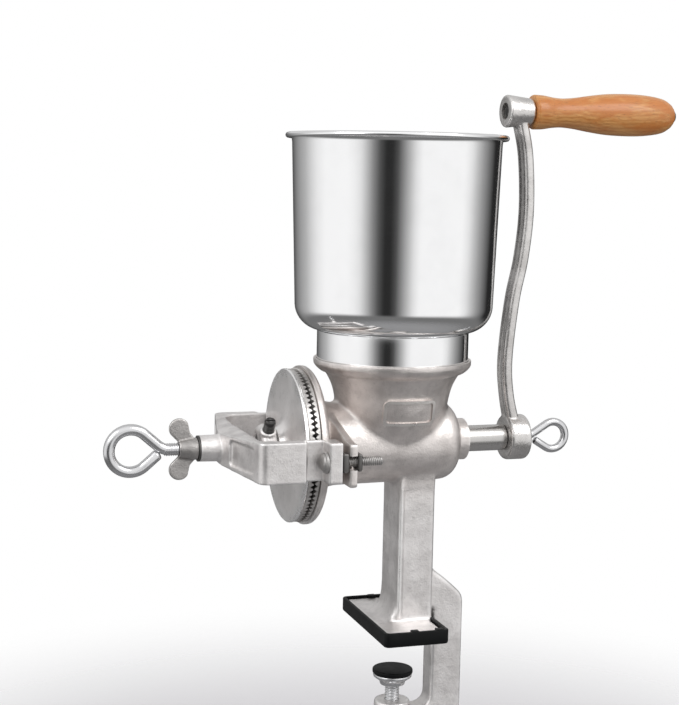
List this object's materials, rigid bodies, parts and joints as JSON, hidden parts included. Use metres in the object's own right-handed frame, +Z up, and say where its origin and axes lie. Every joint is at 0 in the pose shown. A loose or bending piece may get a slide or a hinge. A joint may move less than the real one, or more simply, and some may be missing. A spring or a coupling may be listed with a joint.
{
  "type": "grain mill",
  "caption": "Hand-cranked table-clamp grain mill with a round steel hopper, facing burr discs, an adjusting yoke and a wooden crank grip.",
  "frame": {"origin": "on the hopper's axis at the underside of the rubber boot that rests on the table", "axes": "+Z up along the hopper's axis, +X along the auger shaft towards the crank, +Y away from the side with the raised panel"},
  "size_m": [0.4035, 0.149, 0.5149],
  "materials": {
    "tinned_casting": "tinned casting, fine grained and satin",
    "hopper_steel": "mirror-polished stainless sheet",
    "burr_iron": "tinned iron, toothed",
    "plated_steel": "bright plated rod",
    "dark_steel": "black oxide",
    "varnished_wood": "turned hardwood with clear varnish",
    "black_rubber": "matt black rubber"
  },
  "bodies": {
    "frame": {"mill_body": "tinned_casting", "foot_boot": "black_rubber", "fixed_burr": "burr_iron", "yoke": "tinned_casting", "yoke_bolt_near": "dark_steel", "yoke_spacer_nut_near": "dark_steel", "yoke_lock_nut_near": "dark_steel", "yoke_bolt_far": "dark_steel", "yoke_spacer_nut_far": "dark_steel", "yoke_lock_nut_far": "dark_steel"},
    "hopper": {"hopper_cup": "hopper_steel", "hopper_neck": "hopper_steel"},
    "thrust": {"thrust_ball": "plated_steel"},
    "adjuster": {"adjusting_screw": "plated_steel"},
    "burr_drive": {"auger": "burr_iron", "burr_carrier": "tinned_casting", "rotating_burr": "burr_iron", "drive_collar": "tinned_casting", "collar_set_screw": "dark_steel", "crank_arm": "tinned_casting", "grip_spindle": "dark_steel"},
    "grip": {"crank_grip": "varnished_wood"},
    "crank_lock_washer": {"crank_washer": "dark_steel"},
    "crank_eye": {"crank_eye_screw": "plated_steel"},
    "adjuster_washer": {"lock_washer": "dark_steel"},
    "adjuster_nut": {"wing_nut": "tinned_casting"},
    "pad": {"clamp_pad": "plated_steel", "pad_cap": "black_rubber"},
    "clamp_handle": {"clamp_screw": "plated_steel"}
  },
  "joints": [
    {"name": "hopper_lift", "type": "slide", "parent": "frame", "child": "hopper", "axis": [0, 0, 1], "range_m": [0, 0.06]},
    {"name": "burr_gap", "type": "slide", "parent": "frame", "child": "thrust", "axis": [1, 0, 0], "range_m": [-0.00224, 0]},
    {"name": "adjust_turn", "type": "hinge", "parent": "thrust", "child": "adjuster", "pos_m": [-0.12, 0, 0.13], "axis": [1, 0, 0], "range_deg": [-540, 0]},
    {"name": "crank_turn", "type": "hinge", "parent": "thrust", "child": "burr_drive", "pos_m": [0, 0, 0.13], "axis": [1, 0, 0], "continuous": true},
    {"name": "grip_spin", "type": "hinge", "parent": "burr_drive", "child": "grip", "pos_m": [0.15, 0, 0.3549], "axis": [1, 0, 0], "continuous": true},
    {"name": "eye_travel", "type": "slide", "parent": "burr_drive", "child": "crank_lock_washer", "axis": [1, 0, 0], "range_m": [0, 0.00501]},
    {"name": "eye_turn", "type": "hinge", "parent": "crank_lock_washer", "child": "crank_eye", "pos_m": [0.11, 0, 0.13], "axis": [1, 0, 0], "range_deg": [-1800, 0]},
    {"name": "nut_travel", "type": "slide", "parent": "frame", "child": "adjuster_washer", "axis": [1, 0, 0], "range_m": [-0.00451, 0]},
    {"name": "nut_turn", "type": "hinge", "parent": "adjuster_washer", "child": "adjuster_nut", "pos_m": [-0.14, 0, 0.13], "axis": [1, 0, 0], "range_deg": [-1080, 0]},
    {"name": "clamp_travel", "type": "slide", "parent": "frame", "child": "pad", "axis": [0, 0, 1], "range_m": [-0.00999, 0.02799]},
    {"name": "clamp_turn", "type": "hinge", "parent": "pad", "child": "clamp_handle", "pos_m": [0.0058, 0, -0.08], "axis": [0, 0, 1], "range_deg": [-1800, 5040]}
  ],
  "couplings": [
    {"joint": "adjust_turn", "follows": "burr_gap", "rad_per_m": 4188.8},
    {"joint": "eye_travel", "follows": "eye_turn", "m_per_rad": -0.00015915},
    {"joint": "nut_travel", "follows": "nut_turn", "m_per_rad": 0.00023873},
    {"joint": "clamp_turn", "follows": "clamp_travel", "rad_per_m": 3141.6}
  ]
}
